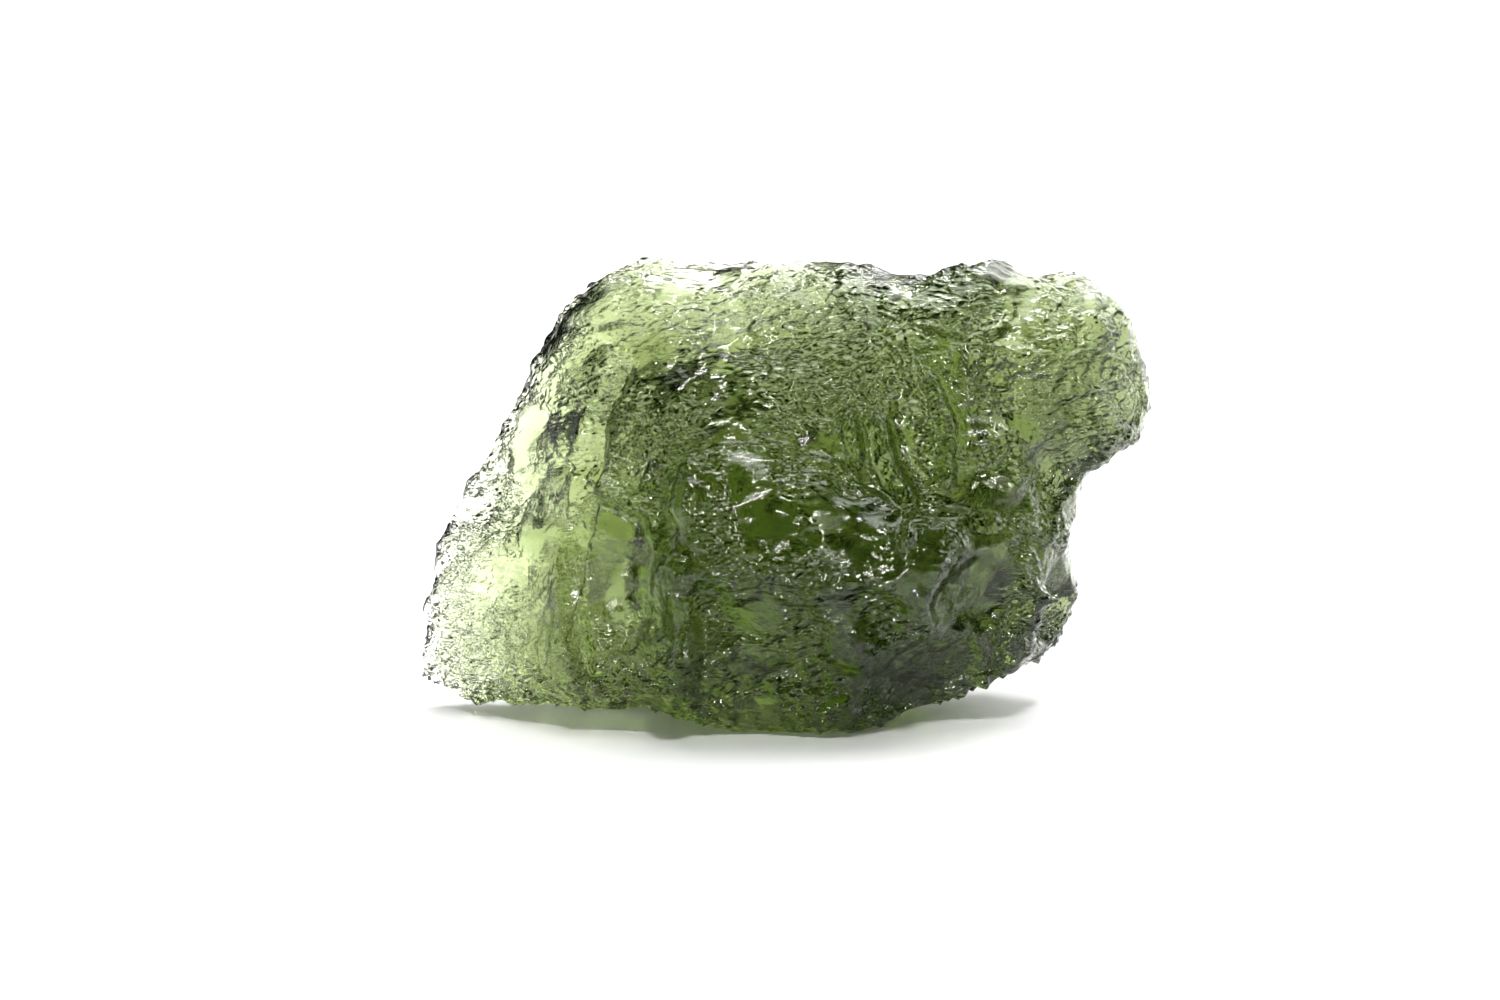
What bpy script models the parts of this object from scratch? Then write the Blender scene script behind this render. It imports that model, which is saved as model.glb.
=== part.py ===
"""A moldavite: one lump of green natural glass, chipped and etched all over.

The stone lies on its long side. +X is its length, -Y is the face that shows
best, +Z is up, and the flat spot that it rests on is at z = 0.
"""
import math

import bmesh
import bpy
from mathutils import Euler, Matrix, Vector, noise

MM = 0.001

# Outline of the uncut lump seen from the front, as (x, z) in millimetres
OUTLINE = (
    (10.8, 7.3), (10.3, 6.6), (10.6, 5.5), (10.5, 4.3), (9.8, 3.0), (8.4, 1.9),
    (6.2, 1.2), (3.4, 0.4), (0.0, 0.0), (-2.2, 0.4), (-3.8, 1.1), (-6.4, 1.1),
    (-10.0, 0.9), (-12.4, 1.0), (-14.2, 2.1), (-13.4, 3.9), (-11.7, 7.2),
    (-10.6, 9.2), (-9.0, 11.3), (-8.2, 13.2), (-7.5, 14.7), (-6.4, 15.7),
    (-4.9, 16.3), (-3.4, 16.1), (-1.0, 16.1), (3.0, 16.2), (4.7, 15.9),
    (6.2, 16.2), (7.5, 16.8), (9.2, 15.7), (10.9, 15.5), (12.3, 14.8),
    (12.8, 13.2), (13.2, 11.8), (13.3, 10.5), (12.7, 9.8), (11.4, 9.3), (10.8, 8.3),
)
CENTRE_X = 0.0
CENTRE_Z = 8.3

# Reach of the lump in front of and behind its outline, as (x, front, back) in millimetres
REACHES = (
    (-13.0, 1.7, 1.6), (-10.0, 3.1, 1.9), (-6.0, 5.2, 3.0), (-2.0, 5.7, 4.8),
    (3.0, 5.9, 5.8), (8.0, 5.2, 5.6), (13.0, 4.2, 5.0),
)
PROFILE_POWER = 3.0
LEAN = 0.14
LEAN_HEIGHT = 6.0
FRONT_FALL = 0.034

# The lower front stands proud under this brow, as (x, z) in millimetres
BROW = (
    (-3.9, 8.6), (-3.2, 10.2), (-2.1, 10.6), (-0.4, 10.7), (0.8, 10.3), (1.9, 10.1),
    (2.7, 9.3), (4.4, 8.3), (5.6, 8.4), (7.4, 8.1), (9.4, 7.4),
)
BROW_STEP = 1.3
BROW_SHARP = 0.5
BROW_LEFT = -3.9
BROW_RIGHT = 9.0
BROW_FADE = 4.0

# Scars of chips and etching. Each is a part of an ellipsoid, given by its
# deepest point (x, y, z), the way it faces (degrees round from the front
# towards +X, degrees up), its half sizes (across, up, out) and its turn in
# degrees about the way it faces. Lengths are in millimetres.
SCARS = {
    "left facet": ((-8.3, -1.8, 8.6), (-40, 8), (7.6, 22.0, 7.6), 13),
    "left band": ((-11.2, -0.6, 6.4), (-64, 4), (5.0, 12.0, 9.0), 15),
    "oval hollow": ((-5.5, -4.1, 5.6), (-14, -4), (2.4, 4.2, 2.6), 4),
    "upper face": ((-0.8, -3.7, 12.4), (-8, 26), (10.0, 7.0, 10.0), -14),
    "right face": ((6.2, -3.6, 11.4), (26, 17), (10.0, 12.0, 14.0), 0),
    "under brow": ((1.4, -6.0, 8.4), (6, 2), (3.8, 2.0, 2.6), -10),
    "lower face": ((0.2, -6.3, 5.0), (-4, -12), (14.0, 11.0, 16.0), 0),
    "lower left step": ((-1.6, -5.9, 5.0), (-12, -4), (3.4, 1.5, 2.0), 24),
    "lower right step": ((3.4, -6.2, 5.4), (12, -10), (2.8, 1.3, 1.8), 26),
    "lowest step": ((1.2, -5.5, 3.0), (0, -22), (4.4, 1.2, 2.2), 12),
    "front foot": ((-0.8, -5.2, 2.0), (-6, -36), (14.0, 9.0, 16.0), 0),
    "right notch": ((9.2, -2.4, 9.5), (46, -4), (2.3, 2.5, 2.6), 0),
    "right lobe": ((6.7, -4.2, 5.8), (30, -8), (3.2, 3.0, 3.4), 20),
    "right foot": ((5.8, -3.7, 2.9), (22, -32), (10.0, 7.0, 12.0), 8),
    "right cheek": ((9.4, -1.7, 4.8), (66, -10), (4.4, 5.0, 8.0), 0),
    "top right": ((6.6, -1.8, 14.5), (12, 42), (14.0, 8.0, 18.0), 0),
    "right side": ((11.7, -0.7, 12.8), (60, 10), (4.4, 5.4, 6.0), -14),
    "top chip": ((-3.3, -2.0, 14.7), (-10, 40), (2.7, 2.6, 3.0), 0),
    "top left": ((-6.6, -1.3, 14.3), (-34, 34), (8.0, 7.0, 12.0), 0),
    "left under": ((-7.6, -0.8, 1.3), (-8, -80), (16.0, 8.0, 20.0), 0),
    "left tip": ((-11.9, -0.9, 2.4), (-44, -26), (4.4, 5.0, 7.0), 0),
    "back wedge": ((-8.6, 1.3, 8.6), (-162, 8), (9.0, 16.0, 12.0), -14),
    "back shelf": ((-1.8, 2.8, 12.0), (-174, 20), (9.0, 5.4, 6.0), 14),
    "back hollow": ((1.6, 4.5, 7.0), (176, -2), (6.0, 4.2, 5.4), -24),
    "back right": ((8.8, 4.5, 10.4), (142, 10), (8.0, 10.0, 12.0), 12),
    "back low": ((-3.6, 3.4, 3.8), (-166, -24), (9.0, 5.0, 7.4), 8),
    "back foot": ((5.6, 4.2, 3.0), (156, -28), (8.0, 6.0, 8.0), -10),
    "back trough left": ((2.2, 4.2, 8.8), (-178, 6), (2.1, 4.2, 3.6), 26),
    "back trough middle": ((4.7, 3.6, 8.6), (171, 2), (2.0, 5.0, 3.8), 12),
    "back trough right": ((7.2, 3.7, 9.2), (158, 6), (2.1, 4.6, 4.0), 0),
    "back top": ((4.6, 2.4, 14.6), (172, 48), (9.0, 6.0, 10.0), 0),
}

# Etching, in millimetres: wide swells as (width, depth), then gouges drawn out along the
# flow. A gouge's rim is given as a share of its size, and the level that etching leaves
# where it was as a share of its depth.
SWELLS = ((5.0, 0.35), (2.4, 0.12))
GOUGE_SIZE = 1.45
GOUGE_STRETCH = 1.9
GOUGE_DEPTH = 0.17
RIM_WIDTH = 0.5
LEVEL = 0.5
FLOW_TURN = Euler((0.0, math.radians(-27), math.radians(8)))

GLASS_COLOUR = (0.16, 0.27, 0.05, 1.0)
GLASS_ROUGHNESS = 0.12
GLASS_IOR = 1.49

BASE_CUT = 0.55
FINE_VOXEL = 0.30
LUMP_CUTS = 60
SCAR_RINGS = 32
TRIANGLES = 9300
SHARP_ANGLE = math.radians(30)


def outline_reach(angle):
    """Distance in millimetres from the centre to the outline at an angle."""
    way = Vector((math.cos(angle), math.sin(angle)))
    reach = 0.0
    for i, (x1, z1) in enumerate(OUTLINE):
        x2, z2 = OUTLINE[(i + 1) % len(OUTLINE)]
        start = Vector((x1 - CENTRE_X, z1 - CENTRE_Z))
        side = Vector((x2 - x1, z2 - z1))
        across = way.x * side.y - way.y * side.x
        if abs(across) < 1e-9:
            continue
        along = (start.x * side.y - start.y * side.x) / across
        share = (start.x * way.y - start.y * way.x) / across
        if along > 0 and 0 <= share <= 1:
            reach = max(reach, along)
    return reach


def ease(share):
    """Smooth step from 0 to 1 while share goes from 0 to 1."""
    share = min(1.0, max(0.0, share))
    return share * share * (3 - 2 * share)


def along_stations(stations, x, column):
    """Value in a column of a list of stations at x, eased between them."""
    if x <= stations[0][0]:
        return stations[0][column]
    for low, high in zip(stations, stations[1:]):
        if x <= high[0]:
            share = ease((x - low[0]) / (high[0] - low[0]))
            return low[column] + share * (high[column] - low[column])
    return stations[-1][column]


def brow_step(x, z):
    """How far the lower front stands proud, in millimetres."""
    below = ease((along_stations(BROW, x, 1) - z) / BROW_SHARP)
    left = ease((x - BROW_LEFT) / BROW_SHARP)
    right = ease((BROW_RIGHT - x) / BROW_FADE)
    return BROW_STEP * below * left * right


def lump_point(way):
    """Place on the uncut lump, in millimetres, for a direction from its centre."""
    flat = math.hypot(way.x, way.z)
    angle = math.atan2(way.z, way.x)
    size = (flat ** PROFILE_POWER + abs(way.y) ** PROFILE_POWER) ** (-1 / PROFILE_POWER)
    reach = outline_reach(angle) * flat * size
    x = CENTRE_X + reach * math.cos(angle)
    z = CENTRE_Z + reach * math.sin(angle)
    y = LEAN * (z - LEAN_HEIGHT)
    if way.y < 0:
        fall = 1 - FRONT_FALL * max(0.0, z - LEAN_HEIGHT)
        y += (along_stations(REACHES, x, 1) * fall + brow_step(x, z)) * way.y * size
    else:
        y += along_stations(REACHES, x, 2) * way.y * size
    return Vector((x, y, z))


def new_object(name, bm):
    """Object in the scene made from a bmesh."""
    mesh = bpy.data.meshes.new(name)
    bm.to_mesh(mesh)
    bm.free()
    made = bpy.data.objects.new(name, mesh)
    bpy.context.scene.collection.objects.link(made)
    return made


def uncut_lump():
    """The lump before it was chipped and etched."""
    bm = bmesh.new()
    bmesh.ops.create_cube(bm, size=2)
    bmesh.ops.subdivide_edges(bm, edges=bm.edges[:], cuts=LUMP_CUTS, use_grid_fill=True)
    for vert in bm.verts:
        vert.co = lump_point(vert.co.normalized()) * MM
    bmesh.ops.recalc_face_normals(bm, faces=bm.faces[:])
    return new_object("moldavite", bm)


def scar_cutter(name, deepest, facing, half_sizes, turn):
    """Ellipsoid that is taken away from the lump to leave one scar."""
    around, up = (math.radians(angle) for angle in facing)
    out = Vector((math.sin(around) * math.cos(up), -math.cos(around) * math.cos(up), math.sin(up)))
    across = Vector((math.cos(around), math.sin(around), 0.0))
    frame = Matrix((across, out.cross(across), out)).transposed().to_4x4()
    centre = Vector(deepest) + out * half_sizes[2]
    place = Matrix.Translation(centre) @ frame @ Matrix.Rotation(math.radians(-turn), 4, "Z")
    bm = bmesh.new()
    bmesh.ops.create_uvsphere(bm, u_segments=2 * SCAR_RINGS, v_segments=SCAR_RINGS, radius=1)
    shape = Matrix.Scale(MM, 4) @ place @ Matrix.Diagonal((*half_sizes, 1))
    bmesh.ops.transform(bm, matrix=shape, verts=bm.verts[:])
    cutter = new_object(name, bm)
    cutter.hide_render = True
    cutter.display_type = "WIRE"
    return cutter


def apply_modifiers(body):
    """Keep what the modifiers make as the body's own mesh."""
    bpy.context.view_layer.update()
    shown = body.evaluated_get(bpy.context.evaluated_depsgraph_get())
    rough = body.data
    body.data = bpy.data.meshes.new_from_object(shown)
    body.modifiers.clear()
    bpy.data.meshes.remove(rough)


def carve(body):
    """Take every scar out of the lump and make its faces small and even."""
    cutters = [scar_cutter(name, *form) for name, form in SCARS.items()]
    for cutter in cutters:
        cut = body.modifiers.new(cutter.name, "BOOLEAN")
        cut.operation = "DIFFERENCE"
        cut.solver = "EXACT"
        cut.object = cutter
    even = body.modifiers.new("even faces", "REMESH")
    even.mode = "VOXEL"
    even.voxel_size = FINE_VOXEL * MM
    apply_modifiers(body)
    for cutter in cutters:
        bpy.data.objects.remove(cutter)


def etched(place):
    """How far etching moves the surface outwards at a place, all in millimetres."""
    rise = sum(depth * noise.noise(place / size) for size, depth in SWELLS)
    flow = FLOW_TURN.to_matrix().transposed() @ place / GOUGE_SIZE
    flow.x /= GOUGE_STRETCH
    nearest, second = noise.voronoi(flow)[0][:2]
    rim = 1 - min(1.0, (second - nearest) / RIM_WIDTH)
    return rise + GOUGE_DEPTH * (rim ** 2 - LEVEL)


def etch(body):
    """Move the surface in and out as etching left it."""
    bm = bmesh.new()
    bm.from_mesh(body.data)
    bmesh.ops.smooth_vert(bm, verts=bm.verts[:], factor=0.5,
                          use_axis_x=True, use_axis_y=True, use_axis_z=True)
    bm.normal_update()
    moves = [vert.normal * etched(vert.co / MM) * MM for vert in bm.verts]
    for vert, move in zip(bm.verts, moves):
        vert.co += move
    bm.to_mesh(body.data)
    bm.free()


def thin_out(body):
    """Leave the triangles where the shape needs them."""
    body.data.calc_loop_triangles()
    fewer = body.modifiers.new("fewer faces", "DECIMATE")
    fewer.ratio = TRIANGLES / len(body.data.loop_triangles)
    apply_modifiers(body)


def flatten_base(body):
    """Cut the spot that the stone rests on, and put the origin under its middle."""
    bm = bmesh.new()
    bm.from_mesh(body.data)
    everything = bm.verts[:] + bm.edges[:] + bm.faces[:]
    bmesh.ops.bisect_plane(bm, geom=everything, plane_co=(0, 0, BASE_CUT * MM), plane_no=(0, 0, 1),
                           clear_inner=True)
    rim = [edge for edge in bm.edges if edge.is_boundary]
    bmesh.ops.holes_fill(bm, edges=rim)
    bmesh.ops.triangulate(bm, faces=bm.faces[:])
    bmesh.ops.recalc_face_normals(bm, faces=bm.faces[:])
    places = [vert.co for vert in bm.verts]
    lowest = Vector([min(place[i] for place in places) for i in range(3)])
    highest = Vector([max(place[i] for place in places) for i in range(3)])
    middle = (lowest + highest) / 2
    bmesh.ops.translate(bm, verts=bm.verts[:], vec=(-middle.x, -middle.y, -lowest.z))
    bm.to_mesh(body.data)
    bm.free()


def glass():
    """Green natural glass, glossy where it is chipped and dulled by etching."""
    material = bpy.data.materials.new("etched green glass")
    material.use_nodes = True
    shader = material.node_tree.nodes["Principled BSDF"]
    shader.inputs["Base Color"].default_value = GLASS_COLOUR
    shader.inputs["Roughness"].default_value = GLASS_ROUGHNESS
    shader.inputs["Metallic"].default_value = 0.0
    shader.inputs["IOR"].default_value = GLASS_IOR
    shader.inputs["Transmission Weight"].default_value = 1.0
    return material


def main():
    for old in list(bpy.data.objects):
        bpy.data.objects.remove(old)
    body = uncut_lump()
    carve(body)
    etch(body)
    thin_out(body)
    flatten_base(body)
    body.data.materials.clear()
    body.data.materials.append(glass())
    body.data.shade_smooth()
    body.data.set_sharp_from_angle(angle=SHARP_ANGLE)


main()
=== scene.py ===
"""A moldavite on a plain white stage: the stone's etched glass surface and its look."""
import math

import bmesh
import bpy
from bpy.props import FloatProperty, FloatVectorProperty, PointerProperty, StringProperty
from mathutils import Euler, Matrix, Vector, geometry, noise


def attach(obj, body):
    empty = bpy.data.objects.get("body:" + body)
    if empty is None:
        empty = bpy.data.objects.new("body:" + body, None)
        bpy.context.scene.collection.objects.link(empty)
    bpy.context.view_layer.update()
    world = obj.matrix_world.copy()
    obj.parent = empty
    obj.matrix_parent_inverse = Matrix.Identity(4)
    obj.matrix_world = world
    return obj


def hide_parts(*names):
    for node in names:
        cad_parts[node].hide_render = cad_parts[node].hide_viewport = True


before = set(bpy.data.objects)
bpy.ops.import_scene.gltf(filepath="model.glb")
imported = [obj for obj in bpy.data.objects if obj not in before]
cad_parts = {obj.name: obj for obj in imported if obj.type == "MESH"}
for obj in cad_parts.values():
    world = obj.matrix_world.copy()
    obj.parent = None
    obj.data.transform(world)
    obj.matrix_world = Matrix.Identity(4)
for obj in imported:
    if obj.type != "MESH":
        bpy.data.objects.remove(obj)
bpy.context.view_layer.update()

bl_info = {
    "name": "Moldavite",
    "version": (1, 0, 0),
    "blender": (4, 5, 0),
    "location": "3D View > Sidebar > Moldavite",
    "description": "Makes an etched lump of green natural glass and a plain white stage",
    "category": "Add Mesh",
}

NODE = "moldavite"
MM = 0.001

# Places on the stone. Sizes are in mm, +X is the thick right end and the front looks towards -Y.

# Faces left smooth by the etching: middle and half size
CALM_FACES = (
    ((-8.6, -3.0, 7.6), (1.2, 3.0, 4.6)),
    ((-5.7, -4.5, 5.2), (1.3, 2.0, 2.2)),
    ((1.2, -5.8, 7.8), (2.2, 2.0, 0.9)),
    ((4.9, -3.8, 2.4), (2.0, 2.0, 1.2)),
    ((6.4, -4.4, 5.2), (1.4, 2.0, 1.4)),
)
# Parts pitted all over: middle and half size
PITTED_PARTS = (
    ((10.6, -1.5, 11.5), (2.0, 3.0, 2.6)),
    ((-11.8, -1.0, 3.0), (2.2, 3.0, 3.2)),
    ((2.0, -2.0, 12.6), (3.5, 2.0, 1.2)),
)
# How many half sizes from its middle such a part fades out at, over one half size
PART_EDGE = 1.6

# Sharp ridges of the front, and grooves where the height is below 0: height, the gentle side's width
# and the line as (x, z). The side to the left of the way that the line runs is the steep one.
RIDGES = (
    (-0.75, 0.65, ((-5.6, 12.7), (-6.5, 10.7), (-6.9, 8.2), (-7.4, 5.8), (-6.9, 2.0))),
    (0.65, 0.75, ((-3.7, 2.2), (-3.5, 4.3), (-3.9, 6.4), (-4.7, 7.8), (-6.4, 8.5))),
    (0.26, 0.45, ((-4.1, 8.1), (-3.4, 9.7), (-2.3, 10.1), (-0.6, 10.2), (0.6, 9.8), (1.7, 9.6), (2.5, 8.8),
                  (4.2, 7.8), (5.4, 7.9), (7.2, 7.6))),
    (0.48, 0.55, ((3.3, 10.9), (3.6, 9.6), (4.3, 8.4), (4.2, 7.4))),
    (0.42, 0.45, ((2.2, 11.2), (2.5, 9.9), (2.4, 9.0))),
    (0.42, 0.45, ((5.1, 12.3), (5.7, 10.8), (5.6, 9.0))),
    (0.30, 0.40, ((8.2, 5.9), (8.8, 5.0), (9.1, 3.9))),
    (0.26, 0.40, ((10.9, 14.0), (11.4, 13.0), (11.6, 11.9))),
    (0.30, 0.40, ((6.7, 3.4), (7.0, 2.6), (6.9, 1.5))),
)
# The steep side's width as a share of the gentle one's
STEEP_SIDE = 0.6
# How fast a ridge fades where the surface turns away from the front
RIDGE_FACING = 2.0

# How sharply etched the surface is, from 0, satin, to 1, pitted
SATIN_SHARPNESS = 0.2
CALM_FACE_LOSS = 0.75
RIDGE_SHARPNESS = 0.5
RIDGE_SHARP_HEIGHT = 0.25
# Satin and pitted patches between the faces above: size, middle level, contrast and place in the noise
PATCH_SIZE = 1.5
PATCH_LEVEL = 0.45
PATCH_CONTRAST = 2.4
PATCH_PLACE = Vector((5.0, 1.0, 2.0))
# The foot is etched more sharply: by how much, below what height, and over what height it fades
FOOT_SHARPNESS = 0.5
FOOT_TOP = 6.0
FOOT_FADE = 3.0

# The glass's flow, which gouges and streaks follow
FLOW_TURN = Euler((0.0, math.radians(-27), math.radians(8)))
INTO_FLOW = FLOW_TURN.to_matrix().transposed()
FLOW_STRETCH = 5.0
# Waves that keep the relief from being even: size and reach, and the seed of their place in the noise
WARP_SIZE = 1.6
WARP_REACH = 0.3
WARP_SEED = 3
# Share of the gouges and streaks that satin glass keeps
SATIN_GOUGES = 0.35
SATIN_STREAKS = 0.1
# From a bowl's middle to its rim, as a share of its size, and how far the flow draws it out
BOWL_RIM = 0.75
BOWL_STRETCH = 1.3
# Finer pits between the pits: size and depth as shares of theirs
FINE_PIT_SIZE = 0.55
FINE_PIT_DEPTH = 0.4
FINE_PIT_STRETCH = 1.2
# Wider pits at the foot: size and depth as shares of the pits', top and height that they fade over
FOOT_PIT_SIZE = 1.7
FOOT_PIT_DEPTH = 1.6
FOOT_PIT_STRETCH = 1.1
FOOT_PIT_TOP = 5.5
FOOT_PIT_FADE = 2.0
# Scallops of the back: size, depth, and the relief that leaves the surface where it was
SCALLOP_SIZE = 2.6
SCALLOP_DEPTH = 0.45
SCALLOP_LEVEL = 0.8
# They fade in over this depth, from half of it behind the middle, and from the thin end over a length
SCALLOP_FADE_IN = 2.0
THIN_END = 9.0
THIN_END_FADE = 5.0

# Points of the solid's loose triangles that lie this close, in mm, become one
MERGE_GAP = 0.001
# Rounds of smoothing that take the solid's flat faces out of the fine surface
SMOOTHING_ROUNDS = 6
# Height over which the relief fades to the flat spot below
FLAT_SPOT_FADE = 0.3

GLASS_IOR = 1.49
# Pits and grain finer than the mesh holds, in mm, which are bump
PIT_BUMP_SIZE = 0.21
PIT_BUMP_DEPTH = 0.12
# Scale of the fine pits along the flow, below 1 because the flow draws them out
PIT_BUMP_FLOW_SCALE = 0.6
GRAIN_SIZE = 0.09
GRAIN_DEPTH = 0.03
GRAIN_STRENGTH = 0.4
# Roughness of satin glass, and the sharpness of etching between which it gives way to the glossy kind
SATIN_ROUGHNESS = 0.12
SATIN_UP_TO = 0.1
GLOSSY_FROM = 0.6

# Each lamp: degrees round from the back towards +X, degrees up, full and faded half width, strength
LAMPS = {
    "back right softbox": (42, 22, 22, 38, 4.0),
    "overhead softbox": (20, 74, 14, 34, 4.6),
    "left softbox": (280, 20, 14, 30, 1.3),
    "low front lamp": (165, 5, 3, 5, 80.0),
    "low left lamp": (215, 12, 2.5, 4, 60.0),
    "front lamp": (165, 58, 3.5, 5, 80.0),
    "back lamp": (5, 52, 6, 9, 24.0),
}
# Light of the dim room between the lamps, and of the white that the camera sees past the stone
SURROUNDINGS = 0.04
SHOWN_WHITE = 1.1

FLOOR_ROUGHNESS = 0.3
# Gap in mm between the floor and the flat spot, so the two faces don't share a plane
FLOOR_GAP = 0.005
# The camera's lens and sensor width in mm, and its nearest visible distance in metres
LENS = 168
SENSOR_WIDTH = 36
NEAREST = 0.01


def linear(hex_colour):
    """Linear red, green, blue and alpha of an sRGB hex colour."""
    channels = [int(hex_colour[i:i + 2], 16) / 255 for i in (1, 3, 5)]
    return tuple(c / 12.92 if c <= 0.04045 else ((c + 0.055) / 1.055) ** 2.4 for c in channels) + (1.0,)


def add_node(owner, kind, links=None, **settings):
    """A node of a material or world with its settings, and its inputs set to values or linked."""
    node = owner.node_tree.nodes.new(kind)
    for name, value in settings.items():
        setattr(node, name, value)
    for name, value in (links or {}).items():
        if isinstance(value, bpy.types.NodeSocket):
            owner.node_tree.links.new(value, node.inputs[name])
        else:
            node.inputs[name].default_value = value
    return node


def empty_material(name):
    """Material with its nodes cleared."""
    material = bpy.data.materials.new(name)
    material.use_nodes = True
    material.node_tree.nodes.clear()
    return material


def ease(share):
    """Smooth step from 0 to 1 while share goes from 0 to 1."""
    share = min(1.0, max(0.0, share))
    return share * share * (3 - 2 * share)


class StoneSettings(bpy.types.PropertyGroup):
    """Sizes and colours of the stone's surface and glass."""
    mesh_step: FloatProperty(
        name="Mesh step", description="Spacing of the fine surface's points",
        default=0.125 * MM, unit="LENGTH", precision=6)
    gouge_size: FloatProperty(
        name="Gouge size", description="Width of the larger etched gouges",
        default=0.95 * MM, unit="LENGTH", precision=6)
    gouge_depth: FloatProperty(
        name="Gouge depth", description="Depth of the larger etched gouges",
        default=0.17 * MM, unit="LENGTH", precision=6)
    streak_size: FloatProperty(
        name="Streak size", description="Width of the streaks along the flow",
        default=0.36 * MM, unit="LENGTH", precision=6)
    streak_depth: FloatProperty(
        name="Streak depth", description="Depth of the streaks along the flow",
        default=0.07 * MM, unit="LENGTH", precision=6)
    pit_size: FloatProperty(
        name="Pit size", description="Width of the small etched pits",
        default=0.37 * MM, unit="LENGTH", precision=6)
    pit_depth: FloatProperty(
        name="Pit depth", description="Depth of the small etched pits",
        default=0.17 * MM, unit="LENGTH", precision=6)
    glass_colour: StringProperty(
        name="Glass colour", description="Colour that light keeps in the glass, as sRGB hex",
        default="#CED6B2")
    glass_density: FloatProperty(
        name="Glass density", description="How strongly the glass absorbs light, per metre",
        default=790.0)
    glass_roughness: FloatProperty(
        name="Glass roughness", description="Dullness that etching gives the pitted surface",
        default=0.06, min=0.0, max=1.0)


class StageSettings(bpy.types.PropertyGroup):
    """Sizes of the stage, and the camera's place."""
    floor_size: FloatProperty(
        name="Floor size", description="Side of the square floor", default=3.0, unit="LENGTH")
    floor_colour: StringProperty(
        name="Floor colour", description="Colour of the glossy white floor, as sRGB hex",
        default="#F4F4F4")
    camera_distance: FloatProperty(
        name="Camera distance", description="From the camera to the stone", default=0.247, unit="LENGTH")
    camera_height: FloatProperty(
        name="Camera elevation", description="Angle of the view above the horizon",
        default=math.radians(12), unit="ROTATION")
    camera_aim: FloatVectorProperty(
        name="Camera aim", description="Point that the camera looks at",
        default=(-1.26 * MM, 0.0, 7.53 * MM), unit="LENGTH", precision=6)


def turned(round_, up):
    """Unit direction from degrees round from the back towards +X, and degrees up."""
    round_ = math.radians(round_)
    up = math.radians(up)
    return Vector((math.sin(round_) * math.cos(up), math.cos(round_) * math.cos(up), math.sin(up)))


def along_flow(place, size, stretch):
    """A place in the flow's own directions, for a pattern of a size that the flow stretches."""
    flow = INTO_FLOW @ place / size
    flow.x /= stretch
    return flow


def bowl(place, size, stretch):
    """Etched relief at a place: 0 in the middle of a bowl, 1 on the sharp rim between bowls."""
    nearest = noise.voronoi(along_flow(place, size, stretch))[0][0]
    return min(1.0, (nearest / BOWL_RIM) ** 2)


def within(place, parts):
    """How far inside any of the rounded parts a place is, from 0 to 1."""
    most = 0.0
    for middle, half in parts:
        away = [(place[i] / MM - middle[i]) / half[i] for i in range(3)]
        most = max(most, ease(PART_EDGE - Vector(away).length))
    return most


def near_foot(place, top, fade):
    """How far below a height in mm a place is, from 0 to 1 over a height in mm."""
    return ease((top * MM - place.z) / (fade * MM))


def ridged(place, normal):
    """How far the sharp ridges of the front lift the surface at a place, in metres."""
    spot = Vector((place.x, place.z)) / MM
    lift = 0.0
    for height, width, line in RIDGES:
        for start, end in zip(line, line[1:]):
            foot, share = geometry.intersect_point_line(spot, start, end)
            foot = foot.xy if 0 < share < 1 else Vector(end if share >= 1 else start)
            off = spot - foot
            steep = (Vector(end) - Vector(start)).cross(off) > 0
            near = max(0.0, 1 - off.length / (width * STEEP_SIDE if steep else width))
            lift = max(lift, height * near, key=abs)
    return lift * MM * ease(-RIDGE_FACING * normal.y)


def sharpness(place, lift):
    """How sharply etched the surface is at a place that a ridge lifts so far, from 0 to 1."""
    foot = FOOT_SHARPNESS * near_foot(place, FOOT_TOP, FOOT_FADE)
    patch = noise.noise(place / (PATCH_SIZE * MM) + PATCH_PLACE)
    patch = ease(PATCH_LEVEL + foot + PATCH_CONTRAST * patch)
    sharp = SATIN_SHARPNESS + (1 - SATIN_SHARPNESS) * patch
    sharp *= 1 - CALM_FACE_LOSS * within(place, CALM_FACES)
    ridge = RIDGE_SHARPNESS * min(1.0, abs(lift) / (RIDGE_SHARP_HEIGHT * MM))
    return max(sharp, within(place, PITTED_PARTS), ridge)


def etched_rise(place, settings, sharp):
    """How far etching moves the fine surface outwards at a place, in metres."""
    warp = noise.noise_vector(place / (WARP_SIZE * MM)) * WARP_REACH * MM
    gouges = noise.noise((place + warp) / settings.gouge_size)
    streaks = noise.noise(along_flow(place + warp, settings.streak_size, FLOW_STRETCH))
    pits = bowl(place + warp, settings.pit_size, BOWL_STRETCH) - 0.5
    foot_pits = bowl(place - warp, FOOT_PIT_SIZE * settings.pit_size, FOOT_PIT_STRETCH) - 0.5
    pits += FOOT_PIT_DEPTH * near_foot(place, FOOT_PIT_TOP, FOOT_PIT_FADE) * foot_pits
    fine_pits = bowl(place - warp, settings.pit_size * FINE_PIT_SIZE, FINE_PIT_STRETCH) - 0.5
    rise = settings.gouge_depth * gouges * (SATIN_GOUGES + (1 - SATIN_GOUGES) * sharp)
    rise += settings.streak_depth * streaks * (SATIN_STREAKS + (1 - SATIN_STREAKS) * sharp)
    rise += settings.pit_depth * sharp * (pits + FINE_PIT_DEPTH * fine_pits)
    return rise + scalloped(place + 2 * warp) * scalloped_share(place)


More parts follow.
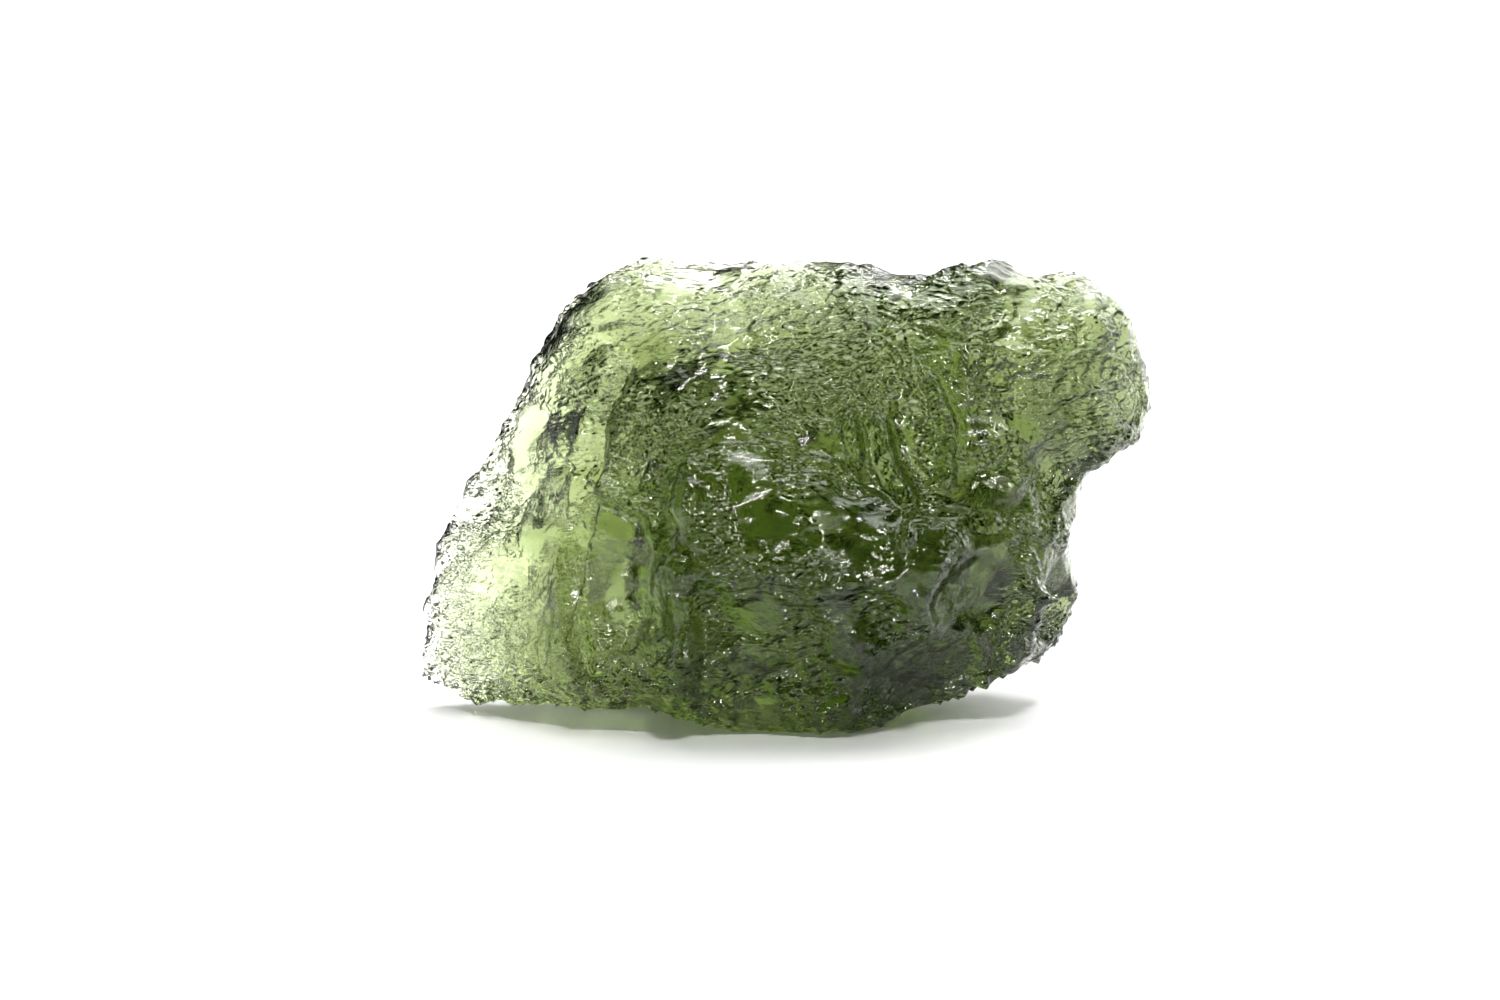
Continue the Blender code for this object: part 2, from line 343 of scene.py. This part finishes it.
def scalloped(place):
    """How far the wide scallops of the back lift the surface at a place, in metres."""
    return SCALLOP_DEPTH * MM * (bowl(place, SCALLOP_SIZE * MM, BOWL_STRETCH) - SCALLOP_LEVEL)


def scalloped_share(place):
    """How fully the scallops show at a place: on the back, and less towards the thin left end."""
    behind = ease(place.y / (SCALLOP_FADE_IN * MM) - 0.5)
    return behind * ease((place.x + THIN_END * MM) / (THIN_END_FADE * MM))


def keep_modifiers(piece):
    """Keep what the modifiers make as the piece's own mesh."""
    bpy.context.view_layer.update()
    shown = piece.evaluated_get(bpy.context.evaluated_depsgraph_get())
    before = piece.data
    piece.data = bpy.data.meshes.new_from_object(shown)
    piece.modifiers.clear()
    bpy.data.meshes.remove(before)


def etched_glass(settings):
    """Natural glass etched in the ground: deep green where thick, near clear where thin.

    Sharp rims and pits glint, and the satin glass between them gives soft, slightly hazy light.
    """
    material = empty_material("etched green glass")
    place = add_node(material, "ShaderNodeTexCoord").outputs["Object"]
    sharp = add_node(material, "ShaderNodeAttribute", attribute_name="etched").outputs["Fac"]
    flow = add_node(material, "ShaderNodeMapping", {
        "Vector": place, "Rotation": FLOW_TURN.to_matrix().inverted().to_euler(),
        "Scale": (PIT_BUMP_FLOW_SCALE, 1.0, 1.0)})
    pits = add_node(material, "ShaderNodeTexVoronoi", {
        "Vector": flow.outputs["Vector"], "Scale": 1 / (PIT_BUMP_SIZE * MM), "Randomness": 1.0})
    grain = add_node(material, "ShaderNodeTexNoise", {
        "Vector": place, "Scale": 1 / (GRAIN_SIZE * MM), "Detail": 2.0, "Roughness": 0.6})
    pitted = add_node(material, "ShaderNodeBump", {
        "Height": pits.outputs["Distance"], "Strength": sharp, "Distance": PIT_BUMP_DEPTH * MM})
    bump = add_node(material, "ShaderNodeBump", {
        "Height": grain.outputs["Fac"], "Strength": GRAIN_STRENGTH, "Distance": GRAIN_DEPTH * MM,
        "Normal": pitted.outputs["Normal"]})
    dulled = add_node(material, "ShaderNodeMapRange", {
        "Value": sharp, "From Min": SATIN_UP_TO, "From Max": GLOSSY_FROM,
        "To Min": SATIN_ROUGHNESS, "To Max": settings.glass_roughness})
    shader = add_node(material, "ShaderNodeBsdfPrincipled", {
        "Base Color": (1, 1, 1, 1), "Roughness": dulled.outputs["Result"], "IOR": GLASS_IOR,
        "Transmission Weight": 1.0, "Normal": bump.outputs["Normal"]})
    inside = add_node(material, "ShaderNodeVolumeAbsorption", {
        "Color": linear(settings.glass_colour), "Density": settings.glass_density})
    add_node(material, "ShaderNodeOutputMaterial", {
        "Surface": shader.outputs["BSDF"], "Volume": inside.outputs["Volume"]})
    return material


def glossy_white_board(settings):
    """White lacquered board: bright, with a soft blurred mirror of what stands on it."""
    material = empty_material("glossy white board")
    shader = add_node(material, "ShaderNodeBsdfPrincipled", {
        "Base Color": linear(settings.floor_colour), "Roughness": FLOOR_ROUGHNESS})
    add_node(material, "ShaderNodeOutputMaterial", {"Surface": shader.outputs["BSDF"]})
    return material


class MOLDAVITE_OT_stone(bpy.types.Operator):
    """Make the stone's fine surface on the solid's form, and its glass"""
    bl_idname = "moldavite.stone"
    bl_label = "Moldavite"

    def execute(self, context):
        settings = context.scene.moldavite_stone
        stone = bpy.data.objects.new("moldavite_glass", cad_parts[NODE].data.copy())
        context.scene.collection.objects.link(stone)
        self.even_faces(stone, settings)
        self.etch(stone, settings)
        stone.data.materials.clear()
        stone.data.materials.append(etched_glass(settings))
        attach(stone, "root")
        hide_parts(NODE)
        return {"FINISHED"}

    def even_faces(self, stone, settings):
        """Merge the copy of the solid's loose triangles and give it small even faces."""
        bm = bmesh.new()
        bm.from_mesh(stone.data)
        bmesh.ops.remove_doubles(bm, verts=bm.verts[:], dist=MERGE_GAP * MM)
        bm.to_mesh(stone.data)
        bm.free()
        even = stone.modifiers.new("even faces", "REMESH")
        even.mode = "VOXEL"
        even.voxel_size = settings.mesh_step
        keep_modifiers(stone)

    def etch(self, stone, settings):
        """Move the fine surface to its ridges and its etched relief, and keep how sharp that is."""
        bm = bmesh.new()
        bm.from_mesh(stone.data)
        for _ in range(SMOOTHING_ROUNDS):
            bmesh.ops.smooth_vert(
                bm, verts=bm.verts[:], factor=0.5, use_axis_x=True, use_axis_y=True, use_axis_z=True)
        bm.normal_update()
        etched = bm.verts.layers.float.new("etched")
        noise.seed_set(WARP_SEED)
        moves = []
        for vert in bm.verts:
            lift = ridged(vert.co, vert.normal)
            sharp = sharpness(vert.co, lift)
            vert[etched] = sharp
            moves.append(vert.normal * (lift + etched_rise(vert.co, settings, sharp)))
        for vert, move in zip(bm.verts, moves):
            vert.co += move * ease(vert.co.z / (FLAT_SPOT_FADE * MM))
            vert.co.z = max(0.0, vert.co.z)
        for face in bm.faces:
            face.smooth = True
        bm.to_mesh(stone.data)
        bm.free()


class MOLDAVITE_OT_stage(bpy.types.Operator):
    """Lay the floor and set the light and the camera"""
    bl_idname = "moldavite.stage"
    bl_label = "Stage"

    def execute(self, context):
        settings = context.scene.moldavite_stage
        self.lay_floor(context, settings)
        self.set_light(context)
        self.set_camera(context, settings)
        return {"FINISHED"}

    def lay_floor(self, context, settings):
        """Glossy white board that the stone rests on."""
        bm = bmesh.new()
        bmesh.ops.create_grid(bm, x_segments=1, y_segments=1, size=settings.floor_size / 2)
        mesh = bpy.data.meshes.new("floor")
        bm.to_mesh(mesh)
        bm.free()
        floor = bpy.data.objects.new("floor", mesh)
        floor.location.z = -FLOOR_GAP * MM
        context.scene.collection.objects.link(floor)
        mesh.materials.append(glossy_white_board(settings))

    def set_light(self, context):
        """A dim room with soft lamps, and plain white where the camera looks past the stone."""
        world = bpy.data.worlds.new("studio")
        context.scene.world = world
        world.use_nodes = True
        world.node_tree.nodes.clear()
        way = add_node(world, "ShaderNodeTexCoord").outputs["Generated"]
        light = add_node(world, "ShaderNodeValue").outputs["Value"]
        light.default_value = SURROUNDINGS
        for round_, up, inner, outer, strength in LAMPS.values():
            facing = add_node(
                world, "ShaderNodeVectorMath", {0: way, 1: turned(round_, up)}, operation="DOT_PRODUCT")
            lamp = add_node(world, "ShaderNodeMapRange", {
                "Value": facing.outputs["Value"], "From Min": math.cos(math.radians(outer)),
                "From Max": math.cos(math.radians(inner)), "To Min": 0.0, "To Max": strength},
                interpolation_type="SMOOTHSTEP")
            total = add_node(world, "ShaderNodeMath", {0: light, 1: lamp.outputs["Result"]}, operation="ADD")
            light = total.outputs["Value"]
        glow = add_node(world, "ShaderNodeBackground", {"Color": (1, 1, 1, 1), "Strength": light})
        plain = add_node(world, "ShaderNodeBackground", {"Color": (1, 1, 1, 1), "Strength": SHOWN_WHITE})
        seen = add_node(world, "ShaderNodeLightPath").outputs["Is Camera Ray"]
        mixed = add_node(world, "ShaderNodeMixShader", {
            0: seen, 1: glow.outputs["Background"], 2: plain.outputs["Background"]})
        add_node(world, "ShaderNodeOutputWorld", {"Surface": mixed.outputs["Shader"]})
        context.scene.view_settings.view_transform = "Standard"
        context.scene.view_settings.look = "Medium High Contrast"

    def set_camera(self, context, settings):
        """Camera at the photo's viewing angle."""
        data = bpy.data.cameras.new("camera")
        data.lens = LENS
        data.sensor_width = SENSOR_WIDTH
        data.clip_start = NEAREST
        camera = bpy.data.objects.new("camera", data)
        up = settings.camera_height
        away = Vector((0.0, -math.cos(up), math.sin(up)))
        camera.location = Vector(settings.camera_aim) + away * settings.camera_distance
        camera.rotation_euler = (-away).to_track_quat("-Z", "Y").to_euler()
        context.scene.collection.objects.link(camera)
        context.scene.camera = camera


class MOLDAVITE_PT_panel(bpy.types.Panel):
    """Lists the stone and the stage"""
    bl_idname = "MOLDAVITE_PT_panel"
    bl_label = "Moldavite"
    bl_space_type = "VIEW_3D"
    bl_region_type = "UI"
    bl_category = "Moldavite"

    def draw(self, context):
        for piece in ("stone", "stage"):
            settings = getattr(context.scene, "moldavite_" + piece)
            box = self.layout.box()
            for name in settings.__annotations__:
                box.prop(settings, name)
            box.operator("moldavite." + piece)


CLASSES = (StoneSettings, StageSettings, MOLDAVITE_OT_stone, MOLDAVITE_OT_stage, MOLDAVITE_PT_panel)


def register():
    """Make the settings, the operators and the panel known."""
    for made in CLASSES:
        bpy.utils.register_class(made)
    bpy.types.Scene.moldavite_stone = PointerProperty(type=StoneSettings)
    bpy.types.Scene.moldavite_stage = PointerProperty(type=StageSettings)


def unregister():
    """Take them away again."""
    del bpy.types.Scene.moldavite_stage
    del bpy.types.Scene.moldavite_stone
    for made in reversed(CLASSES):
        bpy.utils.unregister_class(made)


def main():
    """Make the stone and the stage."""
    register()
    bpy.ops.moldavite.stone()
    bpy.ops.moldavite.stage()


if __name__ == "__main__":
    main()
